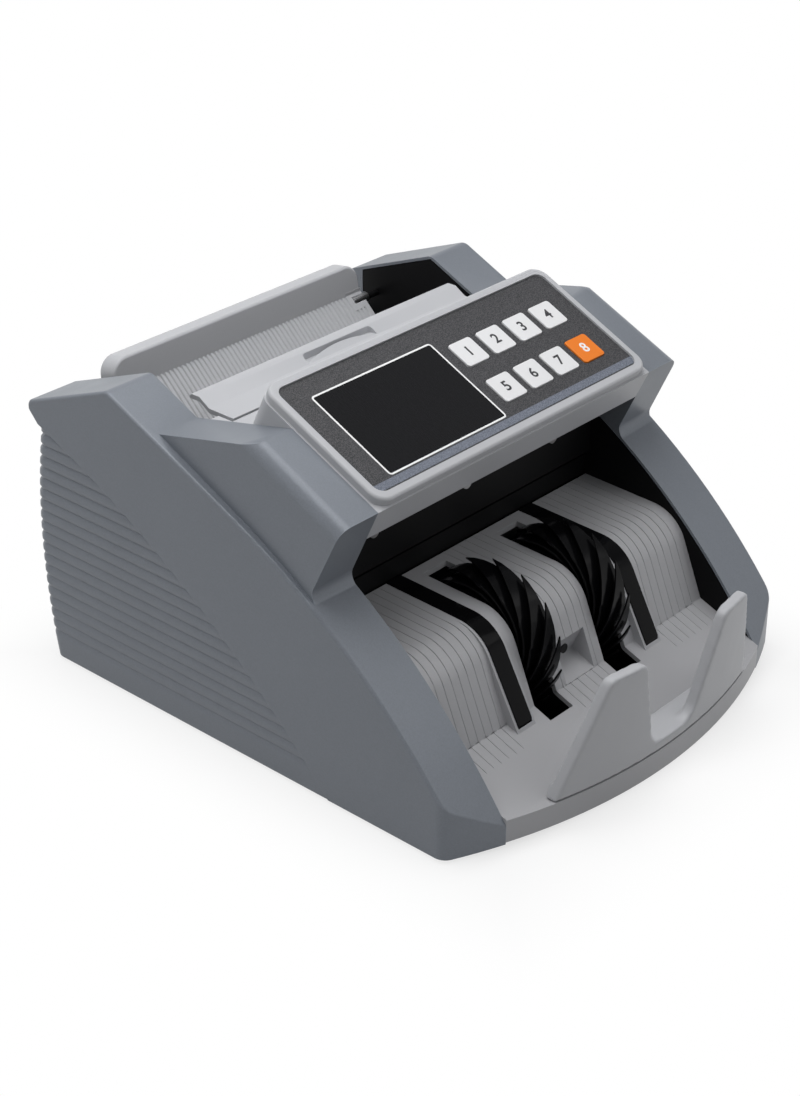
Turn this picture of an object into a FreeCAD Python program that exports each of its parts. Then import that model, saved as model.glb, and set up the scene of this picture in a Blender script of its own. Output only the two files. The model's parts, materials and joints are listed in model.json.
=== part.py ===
import FreeCAD, Part
import math
import os

os.makedirs("parts", exist_ok=True)

# All sizes are in millimetres. X runs to the right, Y to the back, Z up.
# The origin lies on the table, below the middle of the machine.

# Case
case_width = 250.0
cheek_width = 28.0
cover_wall = 3.0
cover_lift = 2.0
lip_depth = 1.5
lip_wall = 2.5
back_wall = 9.5
plate_wall = 2.0
seat_gap = 0.4
foot_height = 3.0
foot_radius = 7.0
foot_inset = 18.0
base_wall = 2.5
base_front_y = -104.0
foot_front_y = -88.0
foot_back_y = 118.0

# Side outline of a cheek
apex_y = 89.0
apex_z = 162.2
slope_angle = 24.7
slope_turn_y = 8.8
slope_radius = 330.0
top_fall_angle = 21.2
back_y = 146.6
apex_round = 6.0
tip_round = 4.0
edge_round = 1.5
nose_round = 7.0

# Front of the machine in plan
front_y = -143.4
front_radius = 275.0

# Ribbed side panel
rib_pitch = 6.0
rib_count = 20
rib_depth = 1.2
rib_fade = 0.6
rib_inset = 0.4
rib_shoulder = 0.32
skirt_top = 10.0
heel_round = 5.0
bulge_y = 149.4
bulge_z = 62.0
bulge_rate = 0.0016
rib_corner = 7.0
rib_front_y = -70.0
border_back_y = 140.0
border_back_z = 129.5
border_tip_angle = 48.0
border_mid_y = 34.0
border_mid_z = 71.8
border_front_y = -45.5
border_front_z = 1.9

# Display panel, measured along its slope from the chin edge
panel_tilt = 25.0
chin_y = -51.5
chin_z = 139.3
block_length = 55.5
block_fall_angle = 13.0
block_step = 2.2
block_lean = 3.2
block_round = 7.0
block_wall = 3.0
throat_round = 6.0
housing_length = 79.0
housing_wall = 2.5
fascia_height = 16.8
housing_depth = 26.5
housing_step = 40.0
bezel_margin = 0.9
bezel_height = 4.4
bezel_corner = 8.0
bezel_roll = 1.6
overlay_side = 5.0
overlay_bottom = 5.6
overlay_back = 4.6
overlay_corner = 5.0
overlay_wall = 0.8
overlay_drop = 0.9
overlay_play = 0.2
panel_plate = 2.5
screen_side = 13.6
screen_bottom = 12.4
screen_back = 11.2
screen_key_gap = 7.4
screen_frame = 1.6
key_side = 19.15
key_pitch_x = 19.55
key_low_y = 25.4
key_pitch_y = 25.3
key_size = 15.2
key_corner = 1.6
key_rise = 0.7
key_play = 0.3
key_flange = 1.0
key_flange_wall = 1.2
key_flange_drop = 0.4
key_travel = 0.8
key_columns = 4
board_wall = 1.6
board_drop = 3.6
board_margin = 5.5
post_radius = 2.5
deck_y = 41.7
deck_z = 150.6
deck_wall = 2.5
ear_width = 5.0
ear_length = 9.0
ear_depth = 7.0

# Feed cover behind the display
flap_side = 7.4
flap_front_y = 43.6
flap_fold_y = 59.3
flap_rise_y = 65.6
flap_back_y = 72.0
flap_rise = 3.9
flap_wall = 2.4
flap_skirt = 11.0
flap_edge_round = 1.9
flap_pivot_y = 47.0
flap_pivot_z = 147.0
flap_pin_radius = 1.5
flap_knuckle = 2.7
flap_pin_reach = 3.5
flap_skirt_end = 10.0
scoop_half_width = 24.0
scoop_depth = 4.0
scoop_floor = 2.0
scoop_wall_y = 64.8
scoop_end_run = 5.0
scoop_mid_run = 1.5
scoop_corner = 2.4

# Hopper plate
hopper_side = 11.5
crease_y = 128.2
crease_z = 135.8
ramp_angle = 44.0
ramp_length = 62.0
ramp_wall = 4.0
ramp_rib_pitch = 2.8
ramp_rib_depth = 0.7
ramp_rib_flank = 0.56
ramp_rib_floor = 0.56
lip_height = 15.5
lip_lean = 9.0
lip_thickness = 11.0
lip_corner = 9.0
lip_edge_round = 1.6
lip_skin = 3.0
hopper_pivot_y = 127.2
hopper_pivot_z = 131.6
hopper_pin_radius = 3.0
hopper_pin_bore = 1.8
hopper_pin_seat = 8.0
hopper_pin_rise = 3.0
hopper_stud_reach = 4.0
hopper_boss = 6.0
hopper_boss_width = 11.0
bed_length = 15.0
bed_gap = 1.0

# Stacker tray
tray_back_y = -16.2
tray_top_z = 72.3
tray_edge_y = -73.1
tray_edge_z = 70.2
tray_foot_y = -90.5
tray_foot_z = 28.2
tray_floor_y = -126.3
tray_floor_z = 14.6
tray_round = 22.0
tray_foot_round = 1.0
tray_wall = 2.5
tray_lift = 3.0
groove_end_y = -104.0
centre_groove_count = 3
groove_pitch = 5.2
groove_width = 0.3
groove_depth = 0.3
slot_inner_x = 18.0
slot_width = 16.6
slot_back_y = -22.2
slot_front_y = -100.2
strip_inner_x = 43.4
strip_width = 9.9
strip_rise = 0.6
strip_wall = 1.6
strip_seat = 1.3
strip_end_gap = 0.3
strip_lip = 0.9
rail_foot_y = -97.5
rail_side = 1.4
niche_half_width = 10.5
niche_top_y = -82.3
niche_top_z = 47.0
niche_inner_y = -76.7
niche_inner_z = 33.8
niche_back_y = -73.0
sensor_radius = 2.4
sensor_z = 39.0
sensor_front_y = -80.4

# Note stop
stop_lift = 0.3
stop_base_height = 6.0
stop_base_depth = 16.0
stop_lean = 7.0
stop_wall = 6.0
stop_bridge_round = 9.0
stop_height = 58.0
fin_foot_outer = 73.0
fin_top_outer = 51.5
fin_top_inner = 29.5
fin_foot_inner = 13.0
fin_corner = 5.0
stop_travel = 6.0
stop_foot_x = 30.0
stop_foot_width = 5.0
stop_foot_length = 3.0
stop_foot_back = 0.5
stop_head = 2.5
stop_head_wall = 1.6
slide_play = 0.4

# Stacker wheels
wheel_y = -55.5
wheel_z = 46.2
wheel_radius = 38.8
wheel_width = 14.6
wheel_hub = 13.0
finger_count = 14
finger_sweep = 190.0
finger_curl = -0.15
finger_phase = 9.5
finger_wall = 1.7
finger_thinning = 0.4
finger_steps = 22
finger_taper = 26.0

# Drive train
shaft_radius = 4.0
shaft_play = 0.06
bush_wall = 2.5
bush_flange = 2.0
bush_flange_wall = 1.6
bush_play = 0.05
counting_y = 18.0
counting_z = 70.0
counting_radius = 14.0
roller_width = 16.0
roller_x = 38.0
pinch_radius = 12.0
nip_gap = 0.5
feed_y = 64.0
feed_z = 66.0
feed_radius = 18.0
feed_roller_x = 26.0
retard_radius = 9.0
retard_y = 58.0
retard_width = 34.0
retard_pin = 3.0
bracket_wall = 3.0
bracket_height = 28.0
pulley_radius = 9.0
pulley_width = 8.0
pulley_gap = 3.0
flange_wall = 1.0
flange_rise = 2.6
belt_wall = 1.6
belt_play = 0.3
belt_edge = 1.0
motor_radius = 17.0
motor_length = 52.0
motor_end = 4.0
motor_shaft_radius = 2.5
main_motor_y = 34.0
main_motor_z = 27.0
stacker_motor_y = 4.0
stacker_motor_z = 27.0
collar_wall = 3.0
collar_rise = 3.0
shaft_end = 2.0
shaft_hole = 1.0

# Note path
path_height = 1.5
guide_wall = 1.5
guide_gap = 3.5
guide_back_y = 45.0
guide_side = 2.0
throat_wall = 2.0
throat_y = -18.0
screw_radius = 3.0
screw_head = 1.6

# Electronics and hidden sides
supply_width = 60.0
supply_depth = 46.0
supply_height = 34.0
supply_x = 22.0
supply_y = 80.0
main_board_width = 84.0
main_board_depth = 46.0
main_board_x = -76.0
main_board_lift = 8.0
chip_count = 3
chip_size = 14.0
chip_margin = 11.0
rear_cover_wall = 3.0
rear_cover_y = 141.5
rear_cover_top = 119.0
rear_flange = 22.0
rear_edge_round = 2.4
rear_slot_count = 9
rear_slot_pitch = 6.0
rear_slot_height = 3.0
rear_slot_width = 70.0
rear_slot_z = 60.0
inlet_x = -58.0
inlet_z = 34.0
inlet_width = 28.0
inlet_height = 20.0
inlet_depth = 20.0
inlet_flange = 4.0
inlet_flange_wall = 2.0
inlet_cavity = 16.0
inlet_rim = 2.5
pin_width = 2.0
pin_height = 4.0
pin_spread = 7.0
pin_length = 12.0
switch_x = 58.0
switch_width = 21.0
switch_height = 19.0
switch_depth = 16.0
switch_rim = 2.0
switch_play = 0.4
rocker_angle = 9.0
rocker_sink = 3.0
knob_z = 101.0
knob_radius = 9.0
knob_length = 4.2
knob_stem = 3.0
knob_flute = 0.8
knob_flute_count = 16
knob_play = 0.1
knob_gap = 0.5

half_case = case_width / 2
half_gap = half_case - cheek_width
overlay_half_width = half_gap - overlay_side
overlay_length = housing_length - overlay_back - overlay_bottom
key_first_x = overlay_half_width - key_side - (key_columns - 1) * key_pitch_x
screen_left = screen_side - overlay_half_width
screen_width = key_first_x - key_size / 2 - screen_key_gap - screen_left
screen_length = overlay_bottom + overlay_length - screen_back - screen_bottom
flap_half_width = half_gap - flap_side
hopper_half_width = half_gap - hopper_side
base_top = foot_height + base_wall
plate_outer = half_gap + plate_wall
slope = math.radians(slope_angle)
fall = math.radians(top_fall_angle)
slope_turn_z = apex_z - (apex_y - slope_turn_y) * math.tan(slope)
slope_centre_y = slope_turn_y + slope_radius * math.sin(slope)
slope_centre_z = slope_turn_z - slope_radius * math.cos(slope)
front_centre_y = front_y + front_radius
margin = 20.0
edge_reach = 0.5
V = FreeCAD.Vector
AXIS_X = V(1, 0, 0)
AXIS_Y = V(0, 1, 0)
AXIS_Z = V(0, 0, 1)


def box(x0, x1, y0, y1, z0, z1):
    """Rectangular block between two corners."""
    return Part.makeBox(x1 - x0, y1 - y0, z1 - z0, V(x0, y0, z0))


def pair(x0, x1, y0, y1, z0, z1):
    """The same block on the right and on the left."""
    return box(x0, x1, y0, y1, z0, z1).fuse(box(-x1, -x0, y0, y1, z0, z1))


def rod_x(radius, x0, x1, y, z):
    return Part.makeCylinder(radius, x1 - x0, V(x0, y, z), AXIS_X)


def rod_y(radius, y0, y1, x, z):
    return Part.makeCylinder(radius, y1 - y0, V(x, y0, z), AXIS_Y)


def rod_z(radius, z0, z1, x, y):
    return Part.makeCylinder(radius, z1 - z0, V(x, y, z0), AXIS_Z)


def side_prism(points, x0, x1):
    """Extrude an outline of (y, z) points along X."""
    corners = [V(x0, y, z) for y, z in points]
    return Part.Face(Part.makePolygon(corners + corners[:1])).extrude(V(x1 - x0, 0, 0))


def front_prism(points, y0, y1):
    """Extrude an outline of (x, z) points along Y."""
    corners = [V(x, y0, z) for x, z in points]
    return Part.Face(Part.makePolygon(corners + corners[:1])).extrude(V(0, y1 - y0, 0))


def mirrored(shape):
    return shape.mirror(V(0, 0, 0), AXIS_X)


def union(shapes):
    joined = shapes[0].fuse(shapes[1:])
    return joined.removeSplitter()


def group(shapes):
    """Several loose solids kept together as one piece."""
    return Part.makeCompound(shapes)


def save(name, shape):
    shape.exportStep("parts/" + name + ".step")


def edges_along_x(shape, y, z, reach):
    """Straight edges that run along X and pass near a (y, z) point."""
    found = []
    for edge in shape.Edges:
        limits = edge.BoundBox
        if limits.YLength > 0.01 or limits.ZLength > 0.01:
            continue
        if math.hypot(limits.YMin - y, limits.ZMin - z) < reach:
            found.append(edge)
    return found


def upright_edges(shape):
    """Straight edges that run along Z."""
    found = []
    for edge in shape.Edges:
        limits = edge.BoundBox
        if limits.XLength < 0.01 and limits.YLength < 0.01:
            found.append(edge)
    return found


def rounded_box(x0, x1, y0, y1, z0, z1, radius):
    """Block with its four upright edges rounded."""
    block = box(x0, x1, y0, y1, z0, z1)
    return block.makeFillet(radius, upright_edges(block))


def front_disc(inset, z0, z1):
    """Everything behind the bowed front of the machine."""
    return rod_z(front_radius - inset, z0, z1, 0, front_centre_y)


# Side covers


def slope_height(y):
    """Height of the cheek's sloping edge at a given depth."""
    if y > slope_turn_y:
        return slope_turn_z + (y - slope_turn_y) * math.tan(slope)
    return slope_centre_z + math.sqrt(slope_radius ** 2 - (y - slope_centre_y) ** 2)


def cheek(inset, back_inset, floor, x0, x1):
    """Cheek outline moved inwards by an inset and extruded along X."""
    radius = slope_radius - inset
    turn_y = slope_centre_y - radius * math.sin(slope)
    turn_z = slope_centre_z + radius * math.cos(slope)
    fall_y = apex_y - inset * math.sin(fall)
    fall_z = apex_z - inset * math.cos(fall)
    along = (fall_y - turn_y) * math.sin(fall) + (fall_z - turn_z) * math.cos(fall)
    along = along / math.sin(slope + fall)
    peak_y = turn_y + along * math.cos(slope)
    peak_z = turn_z + along * math.sin(slope)
    rear = back_y - back_inset
    tip_z = peak_z - (rear - peak_y) * math.tan(fall)
    nose_y = front_y + inset
    nose_z = slope_centre_z + math.sqrt(radius ** 2 - (nose_y - slope_centre_y) ** 2)
    nose_z = max(nose_z, floor + 1)
    nose_y = slope_centre_y - math.sqrt(radius ** 2 - (nose_z - slope_centre_z) ** 2)
    middle = math.atan2(turn_y - slope_centre_y, turn_z - slope_centre_z)
    middle += math.atan2(nose_y - slope_centre_y, nose_z - slope_centre_z)
    mid_y = slope_centre_y + radius * math.sin(middle / 2)
    mid_z = slope_centre_z + radius * math.cos(middle / 2)
    turn = V(x0, turn_y, turn_z)
    nose = V(x0, nose_y, nose_z)
    foot = V(x0, nose_y, floor)
    heel = V(x0, rear, floor)
    tip = V(x0, rear, tip_z)
    peak = V(x0, peak_y, peak_z)
    edges = [Part.makeLine(heel, tip), Part.makeLine(tip, peak), Part.makeLine(peak, turn)]
    edges.append(Part.Arc(turn, V(x0, mid_y, mid_z), nose).toShape())
    edges += [Part.makeLine(nose, foot), Part.makeLine(foot, heel)]
    solid = Part.Face(Part.Wire(edges)).extrude(V(x1 - x0, 0, 0))
    return solid.common(front_disc(inset, -margin, apex_z + margin))


def cheek_skin():
    """Outer form of the right cheek with its rounded edges."""
    skin = cheek(0, 0, cover_lift, half_gap, half_case)
    tip_z = apex_z - (back_y - apex_y) * math.tan(fall)
    skin = skin.makeFillet(apex_round, edges_along_x(skin, apex_y, apex_z, 1))
    skin = skin.makeFillet(tip_round, edges_along_x(skin, back_y, tip_z, 1))
    corner = []
    for edge in upright_edges(skin):
        limits = edge.BoundBox
        if limits.YMax < 0 and limits.XMin > half_case - 1:
            corner.append(edge)
    skin = skin.makeFillet(nose_round, corner)
    rim = []
    for edge in skin.Edges:
        limits = edge.BoundBox
        outer = limits.XMin > half_case - 0.01
        if outer and limits.ZMax > cover_lift + 1:
            rim.append(edge)
    return skin.makeFillet(edge_round, rim)


def border_prism():
    """Everything below the curved border of the ribbed panel."""
    back = V(0, border_back_y, border_back_z)
    mid = V(0, border_mid_y, border_mid_z)
    front = V(0, border_front_y, border_front_z)
    low_front = V(0, border_front_y, -margin)
    low_back = V(0, back_y + margin, -margin)
    rise = (back_y + margin - border_back_y) * math.tan(math.radians(border_tip_angle))
    high_back = V(0, back_y + margin, border_back_z + rise)
    edges = [Part.Arc(back, mid, front).toShape(), Part.makeLine(front, low_front)]
    edges += [Part.makeLine(low_front, low_back), Part.makeLine(low_back, high_back)]
    edges.append(Part.makeLine(high_back, back))
    return Part.Face(Part.Wire(edges)).extrude(V(case_width, 0, 0))


def rib_section(height, inset):
    """Plan outline of the ribbed panel at one height."""
    side = half_case - inset
    rear = bulge_y - bulge_rate * (height - bulge_z) ** 2 - inset
    turn = rib_corner - inset
    cut = turn * (1 - math.sqrt(0.5))
    a = V(half_gap, rib_front_y, height)
    b = V(side, rib_front_y, height)
    c = V(side, rear - turn, height)
    d = V(side - turn, rear, height)
    e = V(half_gap, rear, height)
    edges = [Part.makeLine(a, b), Part.makeLine(b, c)]
    edges.append(Part.Arc(c, V(side - cut, rear - cut, height), d).toShape())
    edges += [Part.makeLine(d, e), Part.makeLine(e, a)]
    return Part.Wire(edges)


def heel_corner():
    """Corner that the rounded heel leaves off the foot of the ribbed panel."""
    rear = bulge_y - bulge_rate * (cover_lift - bulge_z) ** 2 - rib_inset
    y, z = rear - heel_round, cover_lift + heel_round
    corner = box(half_gap - 1, half_case + 1, y, back_y + margin, cover_lift - margin, z)
    return corner.cut(rod_x(heel_round, half_gap - 2, half_case + 2, y, z))


def ribbed_panel():
    """Horizontal ribs that run along the side and round the rear corner."""
    sections = [rib_section(cover_lift, rib_inset)]
    for index in range(rib_count):
        height = skirt_top + index * rib_pitch
        valley = rib_depth * (rib_fade + (1 - rib_fade) * index / rib_count)
        sections.append(rib_section(height, rib_inset + (valley if index else 0)))
        sections.append(rib_section(height + rib_pitch * rib_shoulder, rib_inset))
        sections.append(rib_section(height + rib_pitch * (1 - rib_shoulder), rib_inset))
    sections.append(rib_section(skirt_top + rib_count * rib_pitch, rib_inset + rib_depth))
    ribs = Part.makeLoft(sections, True, True)
    return ribs.common(border_prism()).cut(heel_corner())


def panel_point(along, up):
    """World (y, z) of a point given along and square to the display panel."""
    tilt = math.radians(panel_tilt)
    y = chin_y + along * math.cos(tilt) - up * math.sin(tilt)
    z = chin_z + along * math.sin(tilt) + up * math.cos(tilt)
    return y, z


def chin_foot():
    """Distance down the chin at which it meets the cheek's slope."""
    low, high = 0.0, 120.0
    while high - low > 0.001:
        middle = (low + high) / 2
        y, z = panel_point(0, -middle)
        if z > slope_height(y):
            low = middle
        else:
            high = middle
    return low


def shoulder(wall, x0, x1):
    """Block beside the display, as a side outline extruded along X."""
    drop = math.tan(math.radians(block_fall_angle))
    rise = math.tan(slope)
    chin = panel_point(wall, -wall)
    crest = panel_point(block_length - wall, -wall)
    sink = slope_turn_z - wall + (crest[0] - slope_turn_y) * rise
    tail_y = crest[0] + (crest[1] - sink) / (rise + drop)
    tail = (tail_y, crest[1] - (tail_y - crest[0]) * drop)
    reach = chin_foot()
    start = panel_point(wall, -reach + throat_round)
    mouth_y = panel_point(0, -reach)[0] - throat_round * math.cos(slope) + wall
    end = (mouth_y, slope_height(mouth_y) - wall)
    inner = panel_point(wall, -reach)
    bow = ((start[0] + end[0] + 2 * inner[0]) / 4, (start[1] + end[1] + 2 * inner[1]) / 4)
    deep = (mouth_y, end[1] - throat_round)
    points = [V(x0, y, z) for y, z in [start, chin, crest, tail, deep, end]]
    edges = [Part.makeLine(points[i], points[i + 1]) for i in range(len(points) - 1)]
    edges.append(Part.Arc(points[-1], V(x0, *bow), points[0]).toShape())
    return Part.Face(Part.Wire(edges)).extrude(V(x1 - x0, 0, 0))


def shoulder_block():
    """Raised block of the right cheek with its leaning side."""
    foot_z = slope_height(chin_y)
    outer = half_case - block_step
    lean_z = panel_point(block_length, 0)[1]
    block = shoulder(0, half_gap, outer)
    lean = [(outer, foot_z), (outer - block_lean, lean_z), (outer - block_lean, lean_z + margin)]
    lean += [(half_case + margin, lean_z + margin), (half_case + margin, foot_z)]
    block = block.cut(front_prism(lean, -case_width, case_width))
    chin = panel_point(0, 0)
    crest = panel_point(block_length, 0)
    ridge = []
    for edge in block.Edges:
        limits = edge.BoundBox
        spans = limits.YMin < chin[0] + 1 and limits.YMax > crest[0] - 1
        if spans and limits.XMin > half_gap + 1 and limits.ZMin > chin[1] - 1:
            ridge.append(edge)
    return block.makeFillet(block_round, ridge)


def side_cover():
    """Right side cover: hollow cheek, ribbed panel and shoulder block."""
    below = border_prism()
    skin = cheek_skin().cut(below)
    solid = union([skin, ribbed_panel(), shoulder_block()])
    low = -margin
    hollow = cheek(cover_wall, back_wall, low, half_gap + lip_wall, half_case - cover_wall)
    solid = solid.cut(hollow)
    solid = solid.cut(cheek(lip_depth, back_wall, low, half_gap - 1, half_gap + lip_wall + 1))
    pocket_side = half_case - block_step - block_lean - block_wall
    return solid.cut(shoulder(block_wall, half_gap + lip_wall, pocket_side))


# Black inner plates

bush_outer = shaft_radius + shaft_play + bush_wall
pinch_z = counting_z + counting_radius + pinch_radius + nip_gap
shaft_places = [(wheel_y, wheel_z), (counting_y, counting_z), (feed_y, feed_z), (counting_y, pinch_z)]


def inner_plate():
    """Right wall of the hopper and the note pocket, which carries the shafts."""
    inset = lip_depth + seat_gap
    plate = cheek(inset, back_wall + seat_gap, base_top, half_gap, plate_outer)
    cutters = [rod_x(bush_outer + bush_play, 0, half_case, y, z) for y, z in shaft_places]
    hole = motor_shaft_radius + shaft_hole
    cutters.append(rod_x(hole, 0, half_case, main_motor_y, main_motor_z))
    cutters.append(rod_x(hole, 0, half_case, stacker_motor_y, stacker_motor_z))
    reach = hopper_half_width - hopper_stud_reach
    stud = rod_x(hopper_pin_bore - shaft_play, reach, plate_outer, hopper_pivot_y, hopper_pivot_z)
    return union([plate.cut(cutters), stud])


def bushings():
    """Flanged bushings of all four shafts, in both plates."""
    rings = []
    for y, z in shaft_places:
        barrel = rod_x(bush_outer, half_gap, plate_outer, y, z)
        flange = rod_x(bush_outer + bush_flange, plate_outer, plate_outer + bush_flange_wall, y, z)
        bore = rod_x(shaft_radius + shaft_play, 0, half_case, y, z)
        ring = barrel.fuse(flange).removeSplitter().cut(bore)
        rings += [ring, mirrored(ring)]
    return group(rings)


# Base, feet and rear cover


def base_pan():
    """Floor of the machine with the pillars of the main board."""
    side = half_case - cover_wall
    back = back_y - back_wall
    parts = [box(-side, side, base_front_y, back, foot_height, base_top)]
    parts.append(box(-half_gap, half_gap, back - 1, rear_cover_y, foot_height, base_top))
    for x in (main_board_x + post_radius, main_board_x + main_board_width - post_radius):
        for y in (supply_y + post_radius, supply_y + main_board_depth - post_radius):
            parts.append(rod_z(post_radius, base_top - 1, base_top + main_board_lift, x, y))
    return union(parts)


def rubber_feet():
    feet = []
    for x in (-half_case + foot_inset, half_case - foot_inset):
        for y in (foot_front_y, foot_back_y):
            foot = rod_z(foot_radius, 0, foot_height, x, y)
            rim = [edge for edge in foot.Edges if edge.BoundBox.ZMax < foot_height / 2]
            feet.append(foot.makeChamfer(foot_height / 4, rim))
    return group(feet)


rear_face = rear_cover_y + rear_cover_wall


def rear_cover():
    """Back wall with its top flange, vents and openings."""
    wall = box(-half_gap, half_gap, rear_cover_y, rear_face, foot_height, rear_cover_top)
    flange_z = rear_cover_top - rear_cover_wall
    flange = box(-half_gap, half_gap, rear_cover_y - rear_flange, rear_face, flange_z, rear_cover_top)
    cover = wall.fuse(flange).removeSplitter()
    edge = edges_along_x(cover, rear_face, rear_cover_top, 1)
    cover = cover.makeFillet(rear_edge_round, edge)
    cutters = []
    deep = rear_cover_y - 1
    out = rear_face + 1
    for index in range(rear_slot_count):
        z = rear_slot_z + index * rear_slot_pitch - rear_slot_pitch
        if abs(z - knob_z) < knob_radius + rear_slot_height:
            continue
        half = rear_slot_width / 2
        cutters.append(box(-half, half, deep, out, z, z + rear_slot_height))
    inlet_half = inlet_width / 2
    low = inlet_z - inlet_height / 2
    cutters.append(box(inlet_x - inlet_half, inlet_x + inlet_half, deep, out, low, low + inlet_height))
    switch_half = switch_width / 2
    low = inlet_z - switch_height / 2
    cutters.append(box(switch_x - switch_half, switch_x + switch_half, deep, out, low, low + switch_height))
    cutters.append(rod_y(knob_stem + knob_play, deep, out, 0, knob_z))
    return cover.cut(cutters)


def power_inlet():
    """Recessed mains socket."""
    half_w = inlet_width / 2
    half_h = inlet_height / 2
    rim = inlet_flange
    front = rear_face + inlet_flange_wall
    x0, x1 = inlet_x - half_w, inlet_x + half_w
    z0, z1 = inlet_z - half_h, inlet_z + half_h
    body = box(x0, x1, rear_face - inlet_depth, rear_face, z0, z1)
    flange = rounded_side(x0 - rim, x1 + rim, rear_face, front, z0 - rim, z1 + rim, rim)
    wall = inlet_rim
    cavity = box(x0 + wall, x1 - wall, front - inlet_cavity, front + 1, z0 + wall, z1 - wall)
    return body.fuse(flange).removeSplitter().cut(cavity)


def rounded_side(x0, x1, y0, y1, z0, z1, radius):
    """Block with its four edges along Y rounded."""
    block = box(x0, x1, y0, y1, z0, z1)
    rim = []
    for edge in block.Edges:
        if edge.BoundBox.XLength < 0.01 and edge.BoundBox.ZLength < 0.01:
            rim.append(edge)
    return block.makeFillet(radius, rim)


def inlet_pins():
    floor = rear_face + inlet_flange_wall - inlet_cavity
    pins = []
    for shift, lift in ((-pin_spread, -pin_width), (0, pin_width), (pin_spread, -pin_width)):
        x = inlet_x + shift - pin_width / 2
        z = inlet_z + lift - pin_height / 2
        pins.append(box(x, x + pin_width, floor, floor + pin_length, z, z + pin_height))
    return group(pins)


rocker_y = rear_face - rocker_sink
rocker_radius = switch_height / 2 - switch_rim - switch_play


def switch_frame():
    """Rim and body of the power switch."""
    half_w = switch_width / 2
    half_h = switch_height / 2
    rim = switch_rim
    x0, x1 = switch_x - half_w, switch_x + half_w
    z0, z1 = inlet_z - half_h, inlet_z + half_h
    front = rear_face + inlet_flange_wall / 2
    body = box(x0, x1, rear_face - switch_depth, rear_face, z0, z1)
    flange = rounded_side(x0 - rim, x1 + rim, rear_face, front, z0 - rim, z1 + rim, rim)
    frame = body.fuse(flange).removeSplitter()
    hollow = rod_x(half_h - rim, x0 + rim, x1 - rim, rocker_y, inlet_z)
    mouth = box(x0 + rim, x1 - rim, rocker_y, front + 1, z0 + rim, z1 - rim)
    bore = rod_x(pin_width / 2 + knob_play, x0 + rim / 2, x1 - rim / 2, rocker_y, inlet_z)
    return frame.cut([hollow, mouth, bore])


def switch_rocker():
    """Rocker shown pressed at its lower end."""
    half_w = switch_width / 2 - switch_rim - switch_play
    x0, x1 = switch_x - half_w, switch_x + half_w
    round_back = rod_x(rocker_radius, x0, x1, rocker_y, inlet_z)
    bend = rocker_radius * math.tan(math.radians(rocker_angle))
    face_y = rocker_y + rocker_sink
    high = rocker_radius * 2
    rise = bend * 2
    cut = [(face_y, inlet_z), (face_y + rise, inlet_z + high), (face_y + high, inlet_z + high)]
    cut += [(face_y + high, inlet_z - high), (face_y + rise, inlet_z - high)]
    rocker = round_back.cut(side_prism(cut, x0 - 1, x1 + 1))
    reach = switch_rim / 2
    axle = rod_x(pin_width / 2, x0 - reach, x1 + reach, rocker_y, inlet_z)
    rocker = rocker.fuse(axle).removeSplitter()
    rocker.rotate(V(0, rocker_y, inlet_z), AXIS_X, -rocker_angle)
    return rocker


def gap_knob():
    """Fluted knob that sets the feed gap."""
    back = rear_face + knob_gap
    knob = rod_y(knob_radius, back, back + knob_length, 0, knob_z)
    flutes = []
    for index in range(knob_flute_count):
        turn = 2 * math.pi * index / knob_flute_count
        x = knob_radius * math.cos(turn)
        z = knob_z + knob_radius * math.sin(turn)
        flutes.append(rod_y(knob_flute, back - 1, back + knob_length + 1, x, z))
    clip_y = rear_cover_y - knob_gap
    stem = rod_y(knob_stem, clip_y - collar_wall, back + 1, 0, knob_z)
    clip = rod_y(knob_stem + collar_rise, clip_y - collar_wall, clip_y, 0, knob_z)
    return union([knob.cut(flutes), stem, clip])


# Display


def on_panel(shape):
    """Move a piece drawn flat onto the tilted display panel."""
    shape = shape.copy()
    shape.rotate(V(0, 0, 0), AXIS_X, panel_tilt)
    shape.translate(V(0, chin_y, chin_z))
    return shape


overlay_z = bezel_height - overlay_drop - overlay_wall
plate_under = overlay_z - panel_plate
key_places = []
for row in range(2):
    for column in range(key_columns):
        key_places.append((key_first_x + column * key_pitch_x, key_low_y + (1 - row) * key_pitch_y))


def key_block(x, y, z0, z1, grow):
    half = key_size / 2 + grow
    return rounded_box(x - half, x + half, y - half, y + half, z0, z1, key_corner + max(grow, 0))


def board_posts():
    x = overlay_half_width - board_margin - post_radius
    y0 = overlay_bottom + board_margin + post_radius
    y1 = overlay_bottom + overlay_length - board_margin - post_radius
    return [rod_z(post_radius, -board_drop, plate_under + 1, sx * x, y) for sx in (-1, 1) for y in (y0, y1)]


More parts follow.
